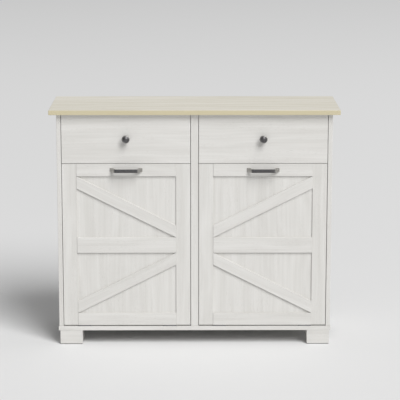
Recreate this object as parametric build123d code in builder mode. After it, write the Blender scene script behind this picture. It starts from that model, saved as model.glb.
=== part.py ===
from build123d import *
import math
import os

# Sideboard with two drawers over two tilt-out doors, in millimetres.
# X runs along the front (left is negative), Y runs from the front to the back, Z is up.
# The origin is on the floor, at the middle of the whole object's width and depth.

# ---------------------------------------------------------------- driving dimensions

overall_width = 1000.0
overall_height = 832.0
top_depth = 354.0
top_thickness = 16.0
side_overhang = 25.0  # top beyond each side panel
front_overhang = 19.0  # top beyond the carcass front

board = 15.0  # carcass boards and drawer fronts
back_thickness = 4.0
back_edge_inset = 2.0  # back panel inside the carcass outline
base_side_overhang = 2.5
base_front_overhang = 2.0
centre_stile_width = 26.0

foot_size = 78.0
foot_height = 50.0
foot_inset = 3.0  # from the sides and the back of the carcass
foot_front_setback = 0.5  # behind the base's front edge

front_gap = 1.6  # round each drawer front and beside each door
row_gap = 1.5  # between a drawer front and the door below it
hinge_gap = 3.5  # under each door
drawer_front_height = 169.0

door_panel_thickness = 12.0
trim_thickness = 6.0
stile_width = 50.0
end_rail_height = 44.0
mid_rail_height = 55.0
brace_width = 38.0

cross_rail_height = 55.0
cross_rail_setback = 4.0  # behind the door's back face
cross_rail_to_drawer = 10.0

knob_radius = 14.0
knob_projection = 25.0
knob_foot_radius = 9.0
knob_foot_thickness = 2.0
knob_neck_radius = 6.0
knob_neck_flare = 3.0  # length of the cone from the foot to the neck
knob_neck_end = 12.0
knob_head_low = 16.0
knob_head_taper = 1.0  # underside of the head inside the rim
knob_rim_low = 17.5
knob_rim_top = 20.0
knob_rise = 1.5  # above the middle of the drawer front
handle_length = 113.0
handle_bar_length = 78.0
handle_bar_thickness = 7.0
handle_bar_height = 12.0
handle_bar_taper = 3.0  # each end of the bar's back face, inside its front face
handle_foot_width = 14.0
handle_foot_height = 14.0
handle_flare_end = 11.25  # the feet are taller than the bar up to here
handle_projection = 25.0
handle_hole_spacing = 96.0
handle_front_round = 4.0

drawer_side = 12.0
drawer_box_height = 115.0
drawer_box_rise = 16.5  # box bottom above the front's lower edge
drawer_back_clearance = 36.0  # from the box to the back panel
drawer_bottom_thickness = 4.0
drawer_bottom_rise = 8.0
groove_depth = 6.0
groove_clearance = 0.2
groove_end_clearance = 0.5

runner_width = 12.5
runner_height = 35.0
runner_setback = 6.0  # behind the drawer front
runner_rear_setback = 24.0  # ahead of the box's rear end
runner_sheet = 1.2
runner_lip = 10.0
runner_play = 1.0  # between the two channels
runner_stile_clearance = 1.0  # the drawer's channel passes the centre stile
runner_overlap = 50.0  # length that stays engaged when the drawer is fully out

hinge_length = 45.0
hinge_leaf_width = 15.0
hinge_leaf_thickness = 0.8
hinge_barrel_radius = 1.5
hinge_pin_radius = 0.8
hinge_pin_clearance = 0.05
hinge_pin_setback = 1.0  # pin axis behind the door's front face
hinge_knuckle_gap = 0.3

cradle_board = 12.0
cradle_inset = 12.0  # from the door's side edges
cradle_floor_gap = 12.0
cradle_back_clearance = 8.0
cradle_sweep_clearance = 6.0
tilt_stop_clearance = 0.5

catch_width = 30.0
catch_depth = 16.0
catch_height = 14.0
catch_gap = 0.3
strike_width = 50.0
strike_thickness = 1.2

small_shank_radius = 1.5
small_head_radius = 3.0
small_head_height = 1.0
leaf_head_height = 0.8  # the hinge leaves' screws, which face each other in the gap
wood_shank_radius = 2.0
wood_head_radius = 4.0
wood_head_height = 2.5
bore_clearance = 0.1
seat_clearance = 0.3
screw_tip_gap = 1.0  # bore beyond the screw's tip
base_screw_length = 45.0
door_screw_length = 40.0
cradle_screw_length = 35.0
corner_screw_length = 30.0
knob_screw_bite = 11.0  # into the knob
handle_screw_bite = 7.0  # into the handle's foot
back_screw_length = 14.0
catch_screw_bite = 10.0  # into the cross rail
leaf_screw_length = 10.0
strike_screw_length = 9.0
runner_screw_length = 6.0
cradle_low_screw_rise = 60.0  # lowest cradle back screw above the cradle's floor

# Fasteners along a board stand at these shares of its length.
dowel_shares = (0.3, 0.7)
cam_shares = (0.15, 0.85)
upright_screw_shares = (0.12, 0.5, 0.88)
back_screw_shares = (0.05, 0.28, 0.5, 0.72, 0.95)
runner_screw_shares = (0.2, 0.8)
corner_shares = (0.3, 0.75)
door_screw_shares = (0.1, 0.5, 0.9)
shelf_screw_shares = (0.25, 0.75)
cradle_back_top_share = 0.75
leaf_screw_depth_share = 0.67
leaf_screw_side_share = 0.28
catch_screw_side_share = 0.3

dowel_radius = 4.0
dowel_length = 25.0
dowel_face_depth = 7.0  # part of the dowel in the board's face, the rest is in an end
cam_radius = 7.5
cam_depth = 12.5
cam_drop = 24.0  # cam centre below the top board
cam_bolt_radius = 3.0
cam_bolt_in_top = 10.0

visible_ease = 0.8
trim_ease = 0.7
hidden_ease = 0.0

# ---------------------------------------------------------------- derived sizes

front_reach = max(knob_projection, handle_projection)
rear_reach = small_head_height  # the back panel's screw heads
carcass_depth = top_depth - front_overhang
carcass_front = front_reach - (front_reach + carcass_depth + rear_reach) / 2
carcass_rear = carcass_front + carcass_depth
board_rear = carcass_rear - back_thickness

outer_x = overall_width / 2 - side_overhang
inner_x = outer_x - board
base_bottom = foot_height
base_top = base_bottom + board
top_bottom = overall_height - top_thickness

front_inner_x = centre_stile_width / 2 + front_gap  # inner edge of doors and drawer fronts
front_outer_x = inner_x - front_gap
front_centre_x = (front_inner_x + front_outer_x) / 2

drawer_top = top_bottom - front_gap
drawer_low = drawer_top - drawer_front_height
drawer_back_face = carcass_front + board
door_top = drawer_low - row_gap
door_low = base_top + hinge_gap
door_thickness = door_panel_thickness + trim_thickness
door_back_face = carcass_front + door_thickness
handle_screw_length = door_thickness + handle_screw_bite
trim_back_face = carcass_front + trim_thickness

mid_rail_low = (door_low + door_top - mid_rail_height) / 2
mid_rail_top = mid_rail_low + mid_rail_height
opening_inner_x = front_inner_x + stile_width
opening_outer_x = front_outer_x - stile_width
opening_width = opening_outer_x - opening_inner_x
opening_height = door_top - end_rail_height - mid_rail_top

box_low = drawer_low + drawer_box_rise
box_top = box_low + drawer_box_height
box_rear = board_rear - drawer_back_clearance
box_inner_x = board / 2 + runner_width
box_outer_x = inner_x - runner_width
bottom_low = box_low + drawer_bottom_rise

cross_rail_front = door_back_face + cross_rail_setback
cross_rail_rear = cross_rail_front + board
cross_rail_top = box_low - cross_rail_to_drawer
cross_rail_low = cross_rail_top - cross_rail_height

pin_y = carcass_front + hinge_pin_setback
pin_z = base_top + hinge_gap / 2
hinge_xs = (opening_inner_x + hinge_length / 2, opening_outer_x - hinge_length / 2)

catch_front = door_back_face + strike_thickness + catch_gap
catch_low = cross_rail_low - catch_height
cradle_inner_x = front_inner_x + cradle_inset
cradle_outer_x = front_outer_x - cradle_inset
cradle_low = base_top + cradle_floor_gap
cradle_rear = board_rear - cradle_back_clearance
cradle_back_front = cradle_rear - cradle_board
sweep_radius = math.hypot(catch_front - pin_y, catch_low - pin_z) - cradle_sweep_clearance

# The cradle's back board meets the rear of the cross rail when the door is fully tilted.
stop_y = cross_rail_rear + tilt_stop_clearance - pin_y
stop_z = (cross_rail_low + cross_rail_top) / 2 - pin_z
stop_radius = math.hypot(stop_y, stop_z)
cradle_back_reach = cradle_back_front - pin_y
tilt_angle = math.asin(cradle_back_reach / stop_radius) - math.atan2(stop_y, stop_z)
cradle_back_top = pin_z + math.sqrt(stop_radius**2 - cradle_back_reach**2)

runner_z = (box_low + box_top) / 2
runner_front = drawer_back_face + runner_setback
runner_length = box_rear - runner_rear_setback - runner_front
drawer_travel = runner_length - runner_overlap
drawer_lip = box_inner_x - centre_stile_width / 2 - runner_stile_clearance

sides = {"left": -1, "right": 1}
os.makedirs("parts", exist_ok=True)


# ---------------------------------------------------------------- shared operations


def save(piece, label):
    """Label a finished piece and write it as its own file."""
    piece.part.label = label
    export_step(piece.part, f"parts/{label}.step")


def facing(points, outward):
    """Places at the points whose local Z looks along outward."""
    return [Plane(origin=point, z_dir=outward).location for point in points]


def drill(bores):
    """Cut each bore: places on a face, the radius and the depth behind that face."""
    for places, radius, depth in bores:
        with Locations(*places):
            Cylinder(
                radius, depth, align=(Align.CENTER, Align.CENTER, Align.MAX), mode=Mode.SUBTRACT
            )


def groove(x, y, z):
    """Cut a straight-sided groove through the spans x, y and z."""
    with Locations(((x[0] + x[1]) / 2, (y[0] + y[1]) / 2, (z[0] + z[1]) / 2)):
        Box(abs(x[1] - x[0]), abs(y[1] - y[0]), abs(z[1] - z[0]), mode=Mode.SUBTRACT)


def boards(label, spans, ease=hidden_ease, grooves=(), bores=()):
    """One or more rectangular boards, each filling its spans in x, y and z."""
    with BuildPart() as piece:
        for x, y, z in spans:
            with BuildSketch(Plane.XY.offset(min(z))):
                with Locations(((x[0] + x[1]) / 2, (y[0] + y[1]) / 2)):
                    Rectangle(abs(x[1] - x[0]), abs(y[1] - y[0]))
            extrude(amount=abs(z[1] - z[0]))
        if ease > 0:
            chamfer(piece.edges(), ease)
        for spans_cut in grooves:
            groove(*spans_cut)
        drill(bores)
    save(piece, label)


def add_screws(places, length, shank_radius, head_radius, head_height):
    """Screws whose heads sit on the places and whose shanks run behind them."""
    with Locations(*places):
        Cylinder(shank_radius, length, align=(Align.CENTER, Align.CENTER, Align.MAX))
        Cylinder(head_radius, head_height, align=(Align.CENTER, Align.CENTER, Align.MIN))


def add_small_screws(places, length, head_height=small_head_height):
    """Small pan-head screws, for fittings."""
    add_screws(places, length, small_shank_radius, small_head_radius, head_height)


def add_wood_screws(places, length):
    """Larger screws, for boards, the knobs and the handles."""
    add_screws(places, length, wood_shank_radius, wood_head_radius, wood_head_height)


def small_bore(places, length):
    """The bore that takes a small screw of this length."""
    return (places, small_shank_radius + bore_clearance, length + screw_tip_gap)


def wood_bore(places, length):
    """The bore that takes a larger screw of this length."""
    return (places, wood_shank_radius + bore_clearance, length + screw_tip_gap)


def sunk_seat(places):
    """The recess round a larger screw's head, behind the face that the places are on."""
    return (places, wood_head_radius + seat_clearance, wood_head_height)


def dowel_bores(places):
    """Bores on both sides of a joint face, for dowels centred on that face's places."""
    into_face = [place * Location((0, 0, dowel_face_depth)) for place in places]
    return (into_face, dowel_radius + bore_clearance, dowel_length)


# ---------------------------------------------------------------- fastener places

depth_span = board_rear - carcass_front
dowel_ys = [carcass_front + depth_span * share for share in dowel_shares]
cam_ys = [carcass_front + depth_span * share for share in cam_shares]
upright_xs = (-(outer_x + inner_x) / 2, 0.0, (outer_x + inner_x) / 2)

# Dowel places look out of the board's end, into the face of the board it meets.
top_dowels = facing([(x, y, top_bottom) for x in upright_xs for y in dowel_ys], (0, 0, 1))
cross_dowel_zs = (cross_rail_low + board, cross_rail_top - board)
cross_y = (cross_rail_front + cross_rail_rear) / 2
cross_dowels = [
    place
    for sign in sides.values()
    for z in cross_dowel_zs
    for place in (
        *facing([(sign * inner_x, cross_y, z)], (sign, 0, 0)),
        *facing([(sign * board / 2, cross_y, z)], (-sign, 0, 0)),
    )
]

# Cam locks: a disc in each upright's face, a bolt down from the top board.
cam_z = top_bottom - cam_drop
cam_faces = [
    place
    for y in cam_ys
    for place in (
        *facing([(-inner_x, y, cam_z)], (1, 0, 0)),
        *facing([(board / 2, y, cam_z)], (1, 0, 0)),
        *facing([(inner_x, y, cam_z)], (-1, 0, 0)),
    )
]
cam_bolt_xs = (
    -inner_x - cam_depth / 2,
    board / 2 - cam_depth / 2,
    inner_x + cam_depth / 2,
)
cam_bolt_tops = facing(
    [(x, y, top_bottom + cam_bolt_in_top) for x in cam_bolt_xs for y in cam_ys], (0, 0, 1)
)
cam_bolt_length = cam_bolt_in_top + cam_drop

# Screws up through the base into the uprights, and down through it into the feet.
upright_screw_ys = [carcass_front + depth_span * share for share in upright_screw_shares]
upright_mouths = facing(
    [(x, y, base_bottom) for x in upright_xs for y in upright_screw_ys], (0, 0, -1)
)
upright_seats = [place * Location((0, 0, -wood_head_height)) for place in upright_mouths]
foot_outer_x = outer_x - foot_inset
foot_centre_x = foot_outer_x - foot_size / 2
foot_front = carcass_front - base_front_overhang + foot_front_setback
foot_centre_ys = {
    "front": foot_front + foot_size / 2,
    "rear": board_rear - foot_inset - foot_size / 2,
}
foot_screw_offset = foot_size / 4
foot_mouths = facing(
    [
        (sign * (foot_centre_x + step * foot_screw_offset), y + step * foot_screw_offset, base_top)
        for sign in sides.values()
        for y in foot_centre_ys.values()
        for step in (-1, 1)
    ],
    (0, 0, 1),
)
foot_seats = [place * Location((0, 0, -wood_head_height)) for place in foot_mouths]
base_screw_bores = [
    wood_bore(upright_seats, base_screw_length),
    sunk_seat(upright_mouths),
    wood_bore(foot_seats, base_screw_length),
    sunk_seat(foot_mouths),
]

# Small screws that hold the runners, hinge leaves, catches and back panel to the cabinet.
runner_screw_ys = [runner_front + runner_length * share for share in runner_screw_shares]
runner_walls = [(-inner_x, 1), (-board / 2, -1), (board / 2, 1), (inner_x, -1)]
cabinet_runner_screws = [
    place
    for x, look in runner_walls
    for y in runner_screw_ys
    for place in facing([(x + look * runner_sheet, y, runner_z)], (look, 0, 0))
]
drawer_runner_faces = [
    (-box_outer_x, -1),
    (-box_inner_x, 1),
    (box_inner_x, -1),
    (box_outer_x, 1),
]

leaf_screw_y = pin_y + hinge_leaf_width * leaf_screw_depth_share
leaf_screw_offset = hinge_length * leaf_screw_side_share
leaf_screw_xs = [x + step * leaf_screw_offset for x in hinge_xs for step in (-1, 1)]
fixed_leaf_screws = facing(
    [
        (sign * x, leaf_screw_y, base_top + hinge_leaf_thickness)
        for sign in sides.values()
        for x in leaf_screw_xs
    ],
    (0, 0, 1),
)

catch_screw_length = catch_height + catch_screw_bite
catch_screws = facing(
    [
        (sign * front_centre_x + step * catch_width * catch_screw_side_share, cross_y, catch_low)
        for sign in sides.values()
        for step in (-1, 1)
    ],
    (0, 0, -1),
)

back_screw_zs = [base_top + (top_bottom - base_top) * share for share in back_screw_shares]
back_screws = facing([(x, carcass_rear, z) for x in upright_xs for z in back_screw_zs], (0, 1, 0))

top_bores = [
    dowel_bores(top_dowels),
    (cam_bolt_tops, cam_bolt_radius + bore_clearance, cam_bolt_length),
]
upright_bores = [
    *top_bores,
    dowel_bores(cross_dowels),
    (cam_faces, cam_radius + bore_clearance, cam_depth),
    *base_screw_bores,
    small_bore(cabinet_runner_screws, runner_screw_length),
    small_bore(back_screws, back_screw_length),
]

# ---------------------------------------------------------------- cabinet boards


def build_carcass():
    """Top, uprights, base, back and the cross rails behind the gap between the rows."""
    side_edges = (outer_x, inner_x)
    upright_z = (base_top, top_bottom)
    boards(
        "top_board",
        [
            (
                (-overall_width / 2, overall_width / 2),
                (carcass_front - front_overhang, carcass_rear),
                (top_bottom, overall_height),
            )
        ],
        visible_ease,
        bores=top_bores,
    )
    for side, sign in sides.items():
        boards(
            f"side_panel_{side}",
            [([sign * x for x in side_edges], (carcass_front, board_rear), upright_z)],
            visible_ease,
            bores=upright_bores,
        )
        boards(
            f"cross_rail_{side}",
            [
                (
                    (sign * board / 2, sign * inner_x),
                    (cross_rail_front, cross_rail_rear),
                    (cross_rail_low, cross_rail_top),
                )
            ],
            bores=[dowel_bores(cross_dowels), small_bore(catch_screws, catch_screw_length)],
        )
    boards(
        "centre_partition",
        [((-board / 2, board / 2), (carcass_front + board, board_rear), upright_z)],
        bores=upright_bores,
    )
    boards(
        "centre_stile",
        [
            (
                (-centre_stile_width / 2, centre_stile_width / 2),
                (carcass_front, carcass_front + board),
                upright_z,
            )
        ],
        visible_ease,
    )
    boards(
        "base_board",
        [
            (
                (-outer_x - base_side_overhang, outer_x + base_side_overhang),
                (carcass_front - base_front_overhang, board_rear),
                (base_bottom, base_top),
            )
        ],
        visible_ease,
        bores=[*base_screw_bores, small_bore(fixed_leaf_screws, leaf_screw_length)],
    )
    boards(
        "back_panel",
        [
            (
                (back_edge_inset - outer_x, outer_x - back_edge_inset),
                (board_rear, carcass_rear),
                (base_bottom + back_edge_inset, top_bottom),
            )
        ],
        bores=[small_bore(back_screws, back_screw_length)],
    )


def build_feet():
    """Four square block feet, screwed to the base from above."""
    for end, y in foot_centre_ys.items():
        for side, sign in sides.items():
            boards(
                f"foot_{end}_{side}",
                [
                    (
                        (sign * foot_outer_x, sign * (foot_outer_x - foot_size)),
                        (y - foot_size / 2, y + foot_size / 2),
                        (0, foot_height),
                    )
                ],
                visible_ease,
                bores=[wood_bore(foot_seats, base_screw_length)],
            )


def build_cabinet_fasteners():
    """Dowels, cam locks with their bolts, and all the screws that stay in the cabinet."""
    dowel_tops = [
        place * Location((0, 0, dowel_face_depth)) for place in (*top_dowels, *cross_dowels)
    ]
    with BuildPart() as dowels:
        with Locations(*dowel_tops):
            Cylinder(
                dowel_radius,
                dowel_length,
                align=(Align.CENTER, Align.CENTER, Align.MAX),
            )
    save(dowels, "carcass_dowels")

    with BuildPart() as cams:
        with Locations(*cam_faces):
            Cylinder(cam_radius, cam_depth, align=(Align.CENTER, Align.CENTER, Align.MAX))
        drill([(cam_bolt_tops, cam_bolt_radius + bore_clearance, cam_bolt_length)])
    save(cams, "cam_locks")

    with BuildPart() as bolts:
        with Locations(*cam_bolt_tops):
            Cylinder(
                cam_bolt_radius,
                cam_bolt_length - bore_clearance,
                align=(Align.CENTER, Align.CENTER, Align.MAX),
            )
    save(bolts, "cam_bolts")

    with BuildPart() as base_screws:
        add_wood_screws([*upright_seats, *foot_seats], base_screw_length)
    save(base_screws, "base_screws")

    with BuildPart() as fitting_screws:
        add_small_screws(cabinet_runner_screws, runner_screw_length)
        add_small_screws(fixed_leaf_screws, leaf_screw_length, leaf_head_height)
        add_small_screws(catch_screws, catch_screw_length)
        add_small_screws(back_screws, back_screw_length)
    save(fitting_screws, "fitting_screws")


# ---------------------------------------------------------------- fittings


def runner_channels(label, walls, height, lip, bores):
    """Sheet channels along Y: each wall gives the web's back face and which way it looks."""
    with BuildPart() as piece:
        for x, look in walls:
            with BuildSketch(Plane.XZ.offset(-runner_front)):
                with Locations((x + look * lip / 2, runner_z)):
                    Rectangle(lip, height)
                hollow_x = x + look * (lip / 2 + runner_sheet)
                with Locations((hollow_x, runner_z)):
                    Rectangle(lip, height - 2 * runner_sheet, mode=Mode.SUBTRACT)
            extrude(amount=-runner_length)
        drill(bores)
    save(piece, label)


def build_cabinet_fittings():
    """Cabinet halves of the runners, hinges and magnetic catches."""
    runner_channels(
        "cabinet_runners",
        runner_walls,
        runner_height,
        runner_lip,
        [small_bore(cabinet_runner_screws, runner_screw_length)],
    )
    knuckle = hinge_length / 3 - hinge_knuckle_gap
    knuckle_shift = hinge_length / 2 - knuckle / 2
    centres = [sign * x for sign in sides.values() for x in hinge_xs]
    knuckle_xs = [x + step * knuckle_shift for x in centres for step in (-1, 1)]
    leaf_piece(
        "hinge_fixed_leaves",
        centres,
        knuckle_xs,
        knuckle,
        base_top,
        hinge_pin_radius,
        [small_bore(fixed_leaf_screws, leaf_screw_length)],
    )
    with BuildPart() as pins:
        with Locations(*facing([(x, pin_y, pin_z) for x in centres], (1, 0, 0))):
            Cylinder(hinge_pin_radius, hinge_length)
    save(pins, "hinge_pins")
    boards(
        "magnet_catches",
        [
            (
                (
                    sign * front_centre_x - catch_width / 2,
                    sign * front_centre_x + catch_width / 2,
                ),
                (catch_front, catch_front + catch_depth),
                (catch_low, cross_rail_low),
            )
            for sign in sides.values()
        ],
        trim_ease,
        bores=[small_bore(catch_screws, catch_height)],
    )


def leaf_piece(label, centres, knuckle_xs, knuckle, leaf_low, bore_radius, bores):
    """Hinge leaves: flat plates behind the barrel, with the knuckles that carry them."""
    plate_front = pin_y + hinge_barrel_radius + hinge_knuckle_gap
    plate_rear = pin_y + hinge_leaf_width
    with BuildPart() as piece:
        with BuildSketch(Plane.XY.offset(leaf_low)):
            with Locations(*[(x, (plate_front + plate_rear) / 2) for x in centres]):
                Rectangle(hinge_length, plate_rear - plate_front)
            with Locations(*[(x, (pin_y + plate_rear) / 2) for x in knuckle_xs]):
                Rectangle(knuckle, plate_rear - pin_y)
        extrude(amount=hinge_leaf_thickness)
        with Locations(*facing([(x, pin_y, pin_z) for x in knuckle_xs], (1, 0, 0))):
            Cylinder(hinge_barrel_radius, knuckle)
        with Locations(*facing([(x, pin_y, pin_z) for x in centres], (1, 0, 0))):
            Cylinder(bore_radius, hinge_length, mode=Mode.SUBTRACT)
        drill(bores)
    save(piece, label)


# ---------------------------------------------------------------- drawers


def build_drawer(side, sign):
    """One drawer: front, box, runner halves, knob and fasteners."""
    name = f"drawer_{side}"
    knob_z = (drawer_low + drawer_top) / 2 + knob_rise
    knob_screw_length = board + knob_screw_bite
    knob_seat = facing([(sign * front_centre_x, drawer_back_face, knob_z)], (0, 1, 0))
    knob_bore = wood_bore(knob_seat, knob_screw_length)

    side_faces = ((box_inner_x, box_inner_x + drawer_side), (box_outer_x, box_outer_x - drawer_side))
    corner_zs = [box_low + drawer_box_height * share for share in corner_shares]
    side_centres = [sum(face) / 2 for face in side_faces]
    front_dowels = facing(
        [(sign * x, drawer_back_face, z) for x in side_centres for z in corner_zs], (0, -1, 0)
    )
    back_y = box_rear - drawer_side / 2
    corner_screws = [
        place
        for x, look in ((box_inner_x, -1), (box_outer_x, 1))
        for z in corner_zs
        for place in facing([(sign * x, back_y, z)], (sign * look, 0, 0))
    ]
    runner_screws = [
        place
        for x, look in drawer_runner_faces
        if x * sign > 0
        for y in runner_screw_ys
        for place in facing([(x + look * runner_sheet, y, runner_z)], (look, 0, 0))
    ]

    groove_z = (bottom_low, bottom_low + drawer_bottom_thickness + groove_clearance)
    inside = (box_inner_x + drawer_side - groove_depth, box_outer_x - drawer_side + groove_depth)
    groove_x = [sign * x for x in inside]
    groove_y = (drawer_back_face - groove_depth, box_rear - drawer_side + groove_depth)
    bottom_groove = (groove_x, groove_y, groove_z)

    boards(
        f"{name}_front",
        [
            (
                (sign * front_inner_x, sign * front_outer_x),
                (carcass_front, drawer_back_face),
                (drawer_low, drawer_top),
            )
        ],
        visible_ease,
        grooves=[bottom_groove],
        bores=[knob_bore, dowel_bores(front_dowels)],
    )
    boards(
        f"{name}_sides",
        [
            ([sign * x for x in face], (drawer_back_face, box_rear), (box_low, box_top))
            for face in side_faces
        ],
        grooves=[bottom_groove],
        bores=[
            dowel_bores(front_dowels),
            wood_bore(corner_screws, corner_screw_length),
            small_bore(runner_screws, runner_screw_length),
        ],
    )
    boards(
        f"{name}_back",
        [
            (
                (sign * (box_inner_x + drawer_side), sign * (box_outer_x - drawer_side)),
                (box_rear - drawer_side, box_rear),
                (box_low, box_top),
            )
        ],
        grooves=[bottom_groove],
        bores=[wood_bore(corner_screws, corner_screw_length)],
    )
    boards(
        f"{name}_bottom",
        [
            (
                (
                    sign * (inside[0] + groove_end_clearance),
                    sign * (inside[1] - groove_end_clearance),
                ),
                (groove_y[0] + groove_end_clearance, groove_y[1] - groove_end_clearance),
                (bottom_low, bottom_low + drawer_bottom_thickness),
            )
        ],
    )
    inner_height = runner_height - 2 * (runner_sheet + runner_play)
    runner_channels(
        f"{name}_runners",
        [face for face in drawer_runner_faces if face[0] * sign > 0],
        inner_height,
        drawer_lip,
        [small_bore(runner_screws, runner_screw_length)],
    )
    build_knob(f"{name}_knob", sign * front_centre_x, knob_z, knob_bore)

    with BuildPart() as fasteners:
        add_wood_screws(knob_seat, knob_screw_length)
        add_wood_screws(corner_screws, corner_screw_length)
        add_small_screws(runner_screws, runner_screw_length)
        with Locations(*[place * Location((0, 0, dowel_face_depth)) for place in front_dowels]):
            Cylinder(
                dowel_radius, dowel_length, align=(Align.CENTER, Align.CENTER, Align.MAX)
            )
    save(fasteners, f"{name}_fasteners")


def build_knob(label, x, z, bore):
    """A round turned knob: foot, waisted neck and a shallow domed head."""
    dome_height = knob_projection - knob_rim_top
    dome_radius = (knob_radius**2 + dome_height**2) / (2 * dome_height)
    half_angle = math.asin(knob_radius / dome_radius) / 2
    dome_middle = dome_radius * (1 - math.cos(half_angle))
    profile_plane = Plane(origin=(x, carcass_front, z), x_dir=(1, 0, 0), z_dir=(0, 0, 1))
    with BuildPart() as knob:
        with BuildSketch(profile_plane):
            with BuildLine():
                Polyline(
                    (0, -knob_projection),
                    (0, 0),
                    (knob_foot_radius, 0),
                    (knob_foot_radius, -knob_foot_thickness),
                    (knob_neck_radius, -knob_foot_thickness - knob_neck_flare),
                    (knob_neck_radius, -knob_neck_end),
                    (knob_radius - knob_head_taper, -knob_head_low),
                    (knob_radius, -knob_rim_low),
                    (knob_radius, -knob_rim_top),
                )
                ThreePointArc(
                    (knob_radius, -knob_rim_top),
                    (dome_radius * math.sin(half_angle), dome_middle - knob_projection),
                    (0, -knob_projection),
                )
            make_face()
        revolve(axis=Axis((x, carcass_front, z), (0, 1, 0)))
        drill([bore])
    save(knob, label)


# ---------------------------------------------------------------- tilt-out doors


def build_door_trim(name, sign):
    """The strips on the door's face: two stiles, three rails and two slanting braces."""
    trim_y = (carcass_front, trim_back_face)
    stile_edges = (
        (front_inner_x, front_inner_x + stile_width),
        (front_outer_x - stile_width, front_outer_x),
    )
    rail_x = (sign * opening_inner_x, sign * opening_outer_x)
    boards(
        f"{name}_stiles",
        [([sign * x for x in edges], trim_y, (door_low, door_top)) for edges in stile_edges],
        trim_ease,
    )
    boards(
        f"{name}_end_rails",
        [
            (rail_x, trim_y, (door_low, door_low + end_rail_height)),
            (rail_x, trim_y, (door_top - end_rail_height, door_top)),
        ],
        trim_ease,
        bores=[door_handle_bore(sign)],
    )
    boards(f"{name}_mid_rail", [(rail_x, trim_y, (mid_rail_low, mid_rail_top))], trim_ease)

    # The strip runs from the opening's outer corner to the opposite corner at the mid rail.
    reach = math.hypot(opening_width, opening_height)
    slope = math.acos(brace_width / reach) - math.atan2(opening_width, opening_height)
    end_height = brace_width / math.cos(slope)
    strip = [
        (0, opening_height),
        (opening_width, end_height),
        (opening_width, 0),
        (0, opening_height - end_height),
    ]
    with BuildPart() as braces:
        for base, rise in ((mid_rail_top, 1), (mid_rail_low, -1)):
            corners = [(sign * (opening_outer_x - u), base + rise * v) for u, v in strip]
            with BuildSketch(Plane.XZ.offset(-trim_back_face)):
                Polygon(*corners, align=None)
            extrude(amount=trim_thickness)
        chamfer(braces.edges(), trim_ease)
    save(braces, f"{name}_braces")


def door_handle_seats(sign):
    """Handle screw seats on the back of the door panel."""
    z = door_top - end_rail_height / 2
    centre = sign * front_centre_x
    return facing(
        [(centre + step * handle_hole_spacing / 2, door_back_face, z) for step in (-1, 1)],
        (0, 1, 0),
    )


def door_handle_bore(sign):
    """The bores for one handle's two screws."""
    return wood_bore(door_handle_seats(sign), handle_screw_length)


def build_handle(label, sign):
    """A bridge pull: flat bar on two legs that lean out and flare to the door."""
    centre = (sign * front_centre_x, carcass_front, door_top - end_rail_height / 2)
    inner_bar = handle_bar_length / 2 - handle_bar_taper
    bar_back = -handle_projection + handle_bar_thickness
    flare_end = -handle_flare_end
    with BuildPart() as handle:
        with BuildSketch(Plane(origin=centre)):
            with BuildLine():
                outline = Polyline(
                    (-handle_length / 2, 0),
                    (-handle_bar_length / 2, -handle_projection),
                    (handle_bar_length / 2, -handle_projection),
                    (handle_length / 2, 0),
                    (handle_length / 2 - handle_foot_width, 0),
                    (inner_bar, bar_back),
                    (-inner_bar, bar_back),
                    (handle_foot_width - handle_length / 2, 0),
                    close=True,
                )
            top_view = make_face()
            front_corners = top_view.vertices().group_by(Axis.Y)[0]
            fillet(front_corners, handle_front_round)
        extrude(amount=handle_foot_height / 2, both=True)
        with BuildSketch(Plane(origin=centre, x_dir=(0, 1, 0), z_dir=(1, 0, 0))):
            with BuildLine():
                Polyline(
                    (0, handle_foot_height / 2),
                    (flare_end, handle_bar_height / 2),
                    (-handle_projection, handle_bar_height / 2),
                    (-handle_projection, -handle_bar_height / 2),
                    (flare_end, -handle_bar_height / 2),
                    (0, -handle_foot_height / 2),
                    close=True,
                )
            make_face()
        extrude(amount=handle_length, both=True, mode=Mode.INTERSECT)
        drill([door_handle_bore(sign)])
    save(handle, label)


def build_cradle_sides(name, sign, bores):
    """Side boards of the bin cradle: their tops are arcs about the hinge pin."""
    front_reach_y = door_back_face - pin_y
    rear_reach_y = cradle_rear - pin_y
    middle_reach_y = (front_reach_y + rear_reach_y) / 2
    arc = [
        (pin_y + reach, pin_z + math.sqrt(sweep_radius**2 - reach**2))
        for reach in (front_reach_y, middle_reach_y, rear_reach_y)
    ]
    outer_faces = (cradle_inner_x, cradle_outer_x - cradle_board)
    with BuildPart() as cradle_sides:
        for x in outer_faces:
            face_x = min(sign * x, sign * (x + cradle_board))
            with BuildSketch(Plane.YZ.offset(face_x)):
                with BuildLine():
                    ThreePointArc(*arc)
                    Polyline(
                        arc[2], (cradle_rear, cradle_low), (door_back_face, cradle_low), arc[0]
                    )
                make_face()
            extrude(amount=cradle_board)
        drill(bores)
    save(cradle_sides, f"{name}_cradle_sides")


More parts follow.
